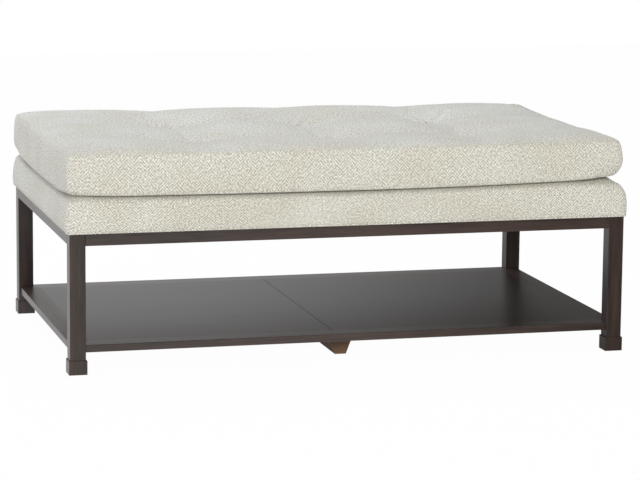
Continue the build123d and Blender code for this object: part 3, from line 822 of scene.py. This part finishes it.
class OTTOMAN_OT_dust_cover(bpy.types.Operator):
    """Stretches the black cloth under the deck"""
    bl_idname = "ottoman.make_dust_cover"
    bl_label = "Make the dust cover"

    def execute(self, context):
        low, high = box_of("deck_dust_cover")
        piece = flat_grid("dust_cloth", 96, 56, high[0] - low[0], high[1] - low[1], high[2] - 0.0004)
        points = points_of(piece)
        inside = smooth_step(0, 0.25, high[0] - RAIL_REST - np.abs(points[:, 0]))
        inside *= smooth_step(0, 0.2, high[1] - RAIL_REST - np.abs(points[:, 1]))
        ripple = np.sin(points[:, 0] * 41) * np.sin(points[:, 1] * 33 + 0.7)
        points[:, 2] -= inside * (DUST_COVER_SAG + DUST_COVER_RIPPLE * ripple)
        move_points(piece, points)
        select_only(piece)
        wall = piece.modifiers.new("Thickness", "SOLIDIFY")
        wall.thickness = 0.0005
        wall.offset = 0
        bpy.ops.object.modifier_apply(modifier="Thickness")
        bpy.ops.object.shade_smooth()
        lining = plain_stuff("black lining cloth", "#151414", "#242323", 0.0012, 0.95, relief=0.0003)
        piece.data.materials.append(lining)
        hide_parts("deck_dust_cover")
        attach(piece, "table")
        return {"FINISHED"}


# The cushion

# Its sides in profile: height, and how far the cloth stands out from the side's plane there
CUSHION_PROFILE = (
    (0.420, -0.0010), (0.430, 0.0), (0.445, 0.0008), (0.480, 0.0006), (0.497, 0.0), (0.507, -0.0012),
    (0.514, -0.0030), (0.520, -0.0060),
)
# The bottom panel near the seam: run from the side, and how far the cloth stands up and out there
UNDER_EDGE_RISE = ((0.0, 1.0), (0.0028, 0.42), (0.011, 0.03), (0.024, 0.0))
UNDER_EDGE_OUT = ((0.0, -0.0012), (0.0028, 0.0012), (0.011, 0.0048), (0.024, 0.0))
TOP_BUTTON_RADIUS = 0.011
BOTTOM_BUTTON_RADIUS = 0.009
SEAM_INSET = (0.0005, 0.0025)       # how far the sides' planes lie inside the solid's box, in x and y
RIM_ROW = 0.035                     # the rows of faces next to the seams, as a share of the boxing
MIDDLE_ROWS = 10
CORNER_REACH = 0.07                 # how far in from a corner or an end its droop shows
RIGHT_SEAM_DROPS = (0.002, -0.001)  # how far the top seam hangs at the front right and rear right corners
RIGHT_END_DROOP = 0.011             # how far the rear half of the top droops at the right end
REAR_RIGHT_DROP = 0.0045            # how much flatter the filling is in the rear right quarter
TIE_RISE = 0.0058                   # how far a tie draws the bottom panel up
END_DRAW = (0.0045, 0.0018)         # how far the left and right ends are drawn in
ROW_WIDTH = 0.058                   # of the soft valley along a row of tufts
COLUMN_WIDTH = 0.070                # of the soft valley across at a button
PLEAT_DEPTH = 0.0056
PLEAT_REACH = 0.036


def button_sites(node_name, radius):
    """The columns' and rows' distance from the middle, and the places of a node's six buttons."""
    column, row = box_of(node_name)[1][:2] - radius
    return column, row, [(x, y) for x in (-column, 0.0, column) for y in (-row, row)]


def to_nearest(x, y, sites):
    """How far each point is from the nearest button's middle."""
    return np.min([np.hypot(x - place_x, y - place_y) for place_x, place_y in sites], axis=0)


def tuft_dip(x, y, sites, column, row, cushion):
    """How far the top is drawn down: soft valleys along rows and columns, and tufts where they cross."""
    rows = np.exp(-((np.abs(y) - row) / ROW_WIDTH) ** 2)
    rows *= 1 - 0.9 * smooth_step(column + 0.02, column + 0.27, np.abs(x))
    places = (-column, 0.0, column)
    columns = np.max([np.exp(-((x - place) / COLUMN_WIDTH) ** 2) for place in places], axis=0)
    columns *= 1 - 0.72 * smooth_step(row + 0.01, row + 0.20, np.abs(y))
    across = cushion.row_valley * rows
    along = cushion.column_valley * columns
    dip = across + along - across * along / max(cushion.row_valley, cushion.column_valley)
    pull = np.exp(-np.maximum(to_nearest(x, y, sites) - TOP_BUTTON_RADIUS, 0) / cushion.tuft_reach)
    return dip + (cushion.tuft_depth - dip) * pull


def pleat_round(points, sites):
    """Presses short uneven pleats into the cloth round each button."""
    pressed = points.copy()
    for number, (x, y) in enumerate(sites):
        away_x = points[:, 0] - x
        away_y = points[:, 1] - y
        away = np.hypot(away_x, away_y)
        turn = np.arctan2(away_y, away_x)
        fold = np.cos(7 * turn + 1.3 * number) + 0.6 * np.cos(11 * turn + 2.1 * number)
        fold += 0.5 * np.cos(4 * turn - number)
        start = smooth_step(TOP_BUTTON_RADIUS * 0.8, 0.026, away)
        strength = PLEAT_DEPTH * start * np.exp(-away / PLEAT_REACH)
        pressed[:, 2] += (points[:, 2] > 0.46) * strength * fold
    return pressed


class OTTOMAN_OT_cushion(bpy.types.Operator):
    """Sews and fills the loose tufted cushion"""
    bl_idname = "ottoman.make_cushion"
    bl_label = "Make the cushion"

    def execute(self, context):
        cushion = settings_of("ottoman_cushion")
        low, high = box_of("cushion_cover")
        column, row, sites = button_sites("cushion_top_buttons", TOP_BUTTON_RADIUS)
        half_x, half_y = high[:2] - SEAM_INSET
        base_z, seam_z = low[2], cushion.top_seam
        low_seam_z = base_z + cushion.bottom_seam
        rows = (RIM_ROW,) * 2 + ((1 - 4 * RIM_ROW) / MIDDLE_ROWS,) * MIDDLE_ROWS + (RIM_ROW,) * 2
        piece = boxed_block("cushion_upholstery", half_x, half_y, low_seam_z, seam_z, cushion.cell, rows)
        points = points_of(piece)
        is_top = points[:, 2] > seam_z - HAIR
        is_bottom = points[:, 2] < low_seam_z + HAIR
        tighten_rim(points, half_x, half_y, cushion.cell)
        run_x = half_x - np.abs(points[:, 0])
        run_y = half_y - np.abs(points[:, 1])
        round_plan(points, half_x, half_y, cushion.corner)
        move_points(piece, points)
        lay_weave(piece, half_x, half_y, cushion.corner)
        x, y = points[:, 0].copy(), points[:, 1].copy()

        by_corner = np.exp(-run_x / CORNER_REACH) * np.exp(-run_y / CORNER_REACH)
        seam_drop = np.where(x < 0, 0.0, np.where(y < 0, *RIGHT_SEAM_DROPS)) * by_corner
        dome = (1 - np.exp(-run_x / cushion.shoulder)) * (1 - np.exp(-run_y / cushion.shoulder))
        dip = tuft_dip(x, y, sites, column, row, cushion)
        top_height = seam_z - seam_drop + cushion.crown * dome - dip * np.minimum(1, dome * 1.15)
        top_height -= RIGHT_END_DROOP * np.exp(-(half_x - x) / CORNER_REACH) * smooth_step(-0.24, 0.0, y)
        top_height -= REAR_RIGHT_DROP * dome * smooth_step(0.10, 0.36, x) * smooth_step(-0.1, 0.2, y)

        sag = sag_line(x, y) * (1 - smooth_step(0.02, 0.07, smooth_least(run_x, run_y, EDGE_BLEND)))
        run = smooth_least(run_x, run_y, 0.004)
        nearest = to_nearest(x, y, sites)
        tied = TIE_RISE * np.exp(-np.maximum(nearest - BOTTOM_BUTTON_RADIUS, 0) / 0.02)
        under = np.interp(run, *zip(*UNDER_EDGE_RISE))
        bottom_height = base_z + sag + cushion.bottom_seam * under + tied
        rise = (points[:, 2] - low_seam_z) / (seam_z - low_seam_z)
        side_height = points[:, 2] - seam_drop * rise + sag * (1 - rise)
        points[:, 2] = np.where(is_top, top_height, np.where(is_bottom, bottom_height, side_height))

        over_side = np.interp(side_height, *zip(*CUSHION_PROFILE))
        over_top = CUSHION_PROFILE[-1][1] * np.exp(-run / 0.02)
        over_bottom = np.interp(run, *zip(*UNDER_EDGE_OUT))
        outline = np.where(is_top, over_top, np.where(is_bottom, over_bottom, over_side))
        push_sides(points, half_x, half_y, cushion.corner, outline)
        # The lower corners are drawn in, on the right from higher up, and the front ones at the top too
        tuck_corners(points, half_x, half_y, 0.15, base_z, base_z + 0.030, (0.022, 0.0))
        tuck_corners(points, half_x, half_y, 0.15, base_z, base_z + 0.048, (0.0, 0.056), 1.7)
        front = y < 0
        front_points = points[front]
        tuck_corners(front_points, half_x, half_y, 0.09, seam_z + 0.012, seam_z - 0.075, (0.002, 0.013), 1.3)
        points[front] = front_points
        points[:, 0] -= np.where(points[:, 0] < 0, *END_DRAW) * (points[:, 0] / half_x) ** 6
        move_points(piece, points)

        held = (is_top & (nearest < TOP_BUTTON_RADIUS + 0.002)) | is_bottom
        swell_cloth(piece, held, 4.0, 0.010, cushion.swell)
        refine(piece)
        move_points(piece, pleat_round(points_of(piece), sites))
        draw_seam(piece, "top seam", 0.0007)
        draw_seam(piece, "bottom seam", 0.0016)
        piece.data.materials.append(herringbone())
        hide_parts("cushion_cover", "cushion_core")
        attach(piece, "cushion")
        return {"FINISHED"}


class OTTOMAN_OT_buttons(bpy.types.Operator):
    """Makes the covered buttons above and below the cushion"""
    bl_idname = "ottoman.make_buttons"
    bl_label = "Make the buttons"

    def execute(self, context):
        for node_name, piece_name, radius in (
            ("cushion_top_buttons", "covered_buttons", TOP_BUTTON_RADIUS),
            ("cushion_bottom_buttons", "base_buttons", BOTTOM_BUTTON_RADIUS),
        ):
            low, high = box_of(node_name)
            made = []
            for x, y in button_sites(node_name, radius)[2]:
                bpy.ops.object.select_all(action="DESELECT")
                bpy.ops.mesh.primitive_uv_sphere_add(
                    segments=32, ring_count=16, radius=1, location=(x, y, (low[2] + high[2]) / 2)
                )
                bpy.context.object.scale = (radius, radius, (high[2] - low[2]) / 2)
                bpy.ops.object.transform_apply(location=True, rotation=True, scale=True)
                made.append(bpy.context.object)
            bpy.ops.object.select_all(action="DESELECT")
            for button in made:
                button.select_set(True)
            bpy.context.view_layer.objects.active = made[0]
            bpy.ops.object.join()
            piece = bpy.context.object
            piece.name = piece_name
            bpy.ops.object.origin_set(type="ORIGIN_CURSOR")
            set_weave(piece, corner_points(piece)[:, :2])
            bpy.ops.object.shade_smooth()
            piece.data.materials.append(herringbone())
            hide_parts(node_name)
            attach(piece, "cushion")
        return {"FINISHED"}


# The stage

# Soft rectangular lamps: name, place, aim, size, watts and colour
LAMPS = (
    ("front_lamp", (-0.6, -5.6, 2.0), (0, 0, 0.4), (3.0, 2.0), 178, "#FFF9EC"),
    ("left_lamp", (-6.0, 0.5, 1.4), (0, 0, 0.3), (2.5, 2.0), 77, "#FFFDFA"),
    ("top_lamp", (-0.6, 1.5, 3.0), (0, 0, 0.5), (2.4, 1.6), 49, "#F2F6FF"),
)


def area_light(name, place, aim, size, power, colour):
    """A soft lamp that points at a place, and isn't seen itself in gloss."""
    lamp = bpy.data.lights.new(name, "AREA")
    lamp.shape = "RECTANGLE"
    lamp.size, lamp.size_y = size
    lamp.energy = power
    lamp.color = linear(colour)
    holder = bpy.data.objects.new(name, lamp)
    bpy.context.collection.objects.link(holder)
    holder.visible_glossy = False
    away = Vector(place) - Vector(aim)
    holder.matrix_world = Matrix.Translation(place) @ away.to_track_quat("Z", "Y").to_matrix().to_4x4()


def add_camera(stage):
    """The camera, at the photograph's place and angle."""
    sight = bpy.data.cameras.new("camera")
    sight.sensor_width = 36
    sight.lens = stage.lens
    camera = bpy.data.objects.new("camera", sight)
    bpy.context.collection.objects.link(camera)
    swing, tilt, lean = stage.azimuth, stage.elevation, stage.roll
    forward = Vector((math.sin(swing) * math.cos(tilt), math.cos(swing) * math.cos(tilt), -math.sin(tilt)))
    level = Vector((math.cos(swing), -math.sin(swing), 0))
    right = math.cos(lean) * level + math.sin(lean) * level.cross(forward)
    turned = Matrix((right, right.cross(forward), -forward)).transposed().to_4x4()
    camera.matrix_world = Matrix.Translation(Vector(stage.place)) @ turned
    bpy.context.scene.camera = camera


def seen_rays(add):
    """The kinds of ray, and 1 for those by which the eye sees a thing: straight, in gloss or through it."""
    rays = add("ShaderNodeLightPath").outputs
    seen = rays["Is Camera Ray"]
    for kind in ("Is Glossy Ray", "Is Transmission Ray"):
        seen = add("ShaderNodeMath", {0: seen, 1: rays[kind]}, operation="MAXIMUM")
    return rays, seen


def floor_paint():
    """White studio floor that keeps a faint shadow, and is dark in gloss to the right, as behind a flag."""
    material = bpy.data.materials.new("white studio floor")
    add = empty_tree(material)
    matt = add("ShaderNodeBsdfDiffuse", {"Color": (0.8, 0.8, 0.8, 1.0)})
    rays, seen = seen_rays(add)
    share = add("ShaderNodeMath", {0: seen, 1: 0.98}, operation="MULTIPLY")
    place = add("ShaderNodeTexCoord").outputs["Object"]
    spot = add("ShaderNodeSeparateXYZ", {0: place})
    flag = add(
        "ShaderNodeMapRange", {0: spot, 1: -0.4, 2: 1.1, 3: 1.0, 4: 0.0},
        interpolation_type="SMOOTHSTEP",
    )
    strength = add("ShaderNodeMix", {"Factor": rays["Is Glossy Ray"], 2: 1.0, 3: flag})
    glow = add("ShaderNodeEmission", {"Color": (1.0, 1.0, 1.0, 1.0), "Strength": strength})
    mixed = add("ShaderNodeMixShader", {0: share, 1: matt, 2: glow})
    add("ShaderNodeOutputMaterial", {"Surface": mixed})
    return material


def white_surround():
    """A world that is white to the eye, bright in gloss on the left only, and soft light on the object."""
    world = bpy.data.worlds.new("studio")
    bpy.context.scene.world = world
    add = empty_tree(world)
    rays, seen = seen_rays(add)
    toward = add("ShaderNodeTexCoord").outputs["Generated"]
    bearing = add("ShaderNodeSeparateXYZ", {0: toward})
    gloss = add(
        "ShaderNodeMapRange", {0: bearing, 1: 0.20, 2: 0.37, 3: 0.76, 4: 0.03},
        interpolation_type="SMOOTHSTEP",
    )
    dim = add("ShaderNodeMath", {0: gloss, 1: rays["Is Glossy Ray"]}, operation="MULTIPLY")
    plain = add(
        "ShaderNodeMath", {0: rays["Is Camera Ray"], 1: rays["Is Transmission Ray"]},
        operation="MAXIMUM",
    )
    bright = add("ShaderNodeMath", {0: dim, 1: plain}, operation="MAXIMUM")
    strength = add("ShaderNodeMix", {"Factor": seen, 2: 0.50, 3: bright})
    sky = add("ShaderNodeBackground", {"Color": (1, 1, 1, 1), "Strength": strength})
    add("ShaderNodeOutputWorld", {"Surface": sky})


class OTTOMAN_OT_stage(bpy.types.Operator):
    """Sets the floor, the white surround, the soft lamps and the camera"""
    bl_idname = "ottoman.set_stage"
    bl_label = "Set the stage"

    def execute(self, context):
        bpy.ops.object.select_all(action="DESELECT")
        bpy.ops.mesh.primitive_plane_add(size=14, location=(0, 0, -0.0003))
        floor = bpy.context.object
        floor.name = "studio_floor"
        floor.data.materials.append(floor_paint())
        white_surround()
        for lamp in LAMPS:
            area_light(*lamp)
        add_camera(settings_of("ottoman_stage"))
        bpy.context.scene.view_settings.view_transform = "Standard"
        return {"FINISHED"}


# In the order in which they run
OPERATORS = (
    OTTOMAN_OT_base,
    OTTOMAN_OT_inner,
    OTTOMAN_OT_deck,
    OTTOMAN_OT_welt,
    OTTOMAN_OT_dust_cover,
    OTTOMAN_OT_cushion,
    OTTOMAN_OT_buttons,
    OTTOMAN_OT_stage,
)


class OTTOMAN_PT_panel(bpy.types.Panel):
    """Lists the settings, and the pieces in the order in which they are made"""
    bl_idname = "OTTOMAN_PT_panel"
    bl_label = "Ottoman coffee table"
    bl_space_type = "VIEW_3D"
    bl_region_type = "UI"
    bl_category = "Ottoman"

    def draw(self, context):
        for name, group in GROUPS.items():
            column = self.layout.column(align=True)
            for setting in group.__annotations__:
                column.prop(settings_of(name), setting)
        for operator in OPERATORS:
            self.layout.operator(operator.bl_idname)


def register():
    for group in (*GROUPS.values(), *OPERATORS, OTTOMAN_PT_panel):
        bpy.utils.register_class(group)
    for name, group in GROUPS.items():
        setattr(bpy.types.Scene, name, bpy.props.PointerProperty(type=group))


def unregister():
    for name in GROUPS:
        delattr(bpy.types.Scene, name)
    for group in reversed((*GROUPS.values(), *OPERATORS, OTTOMAN_PT_panel)):
        bpy.utils.unregister_class(group)


def main():
    register()
    bpy.context.scene.cursor.location = (0, 0, 0)
    bpy.ops.ottoman.dress_base()
    bpy.ops.ottoman.dress_inner()
    bpy.ops.ottoman.make_deck()
    bpy.ops.ottoman.make_welt()
    bpy.ops.ottoman.make_dust_cover()
    bpy.ops.ottoman.make_cushion()
    bpy.ops.ottoman.make_buttons()
    bpy.ops.ottoman.set_stage()


if __name__ == "__main__":
    main()
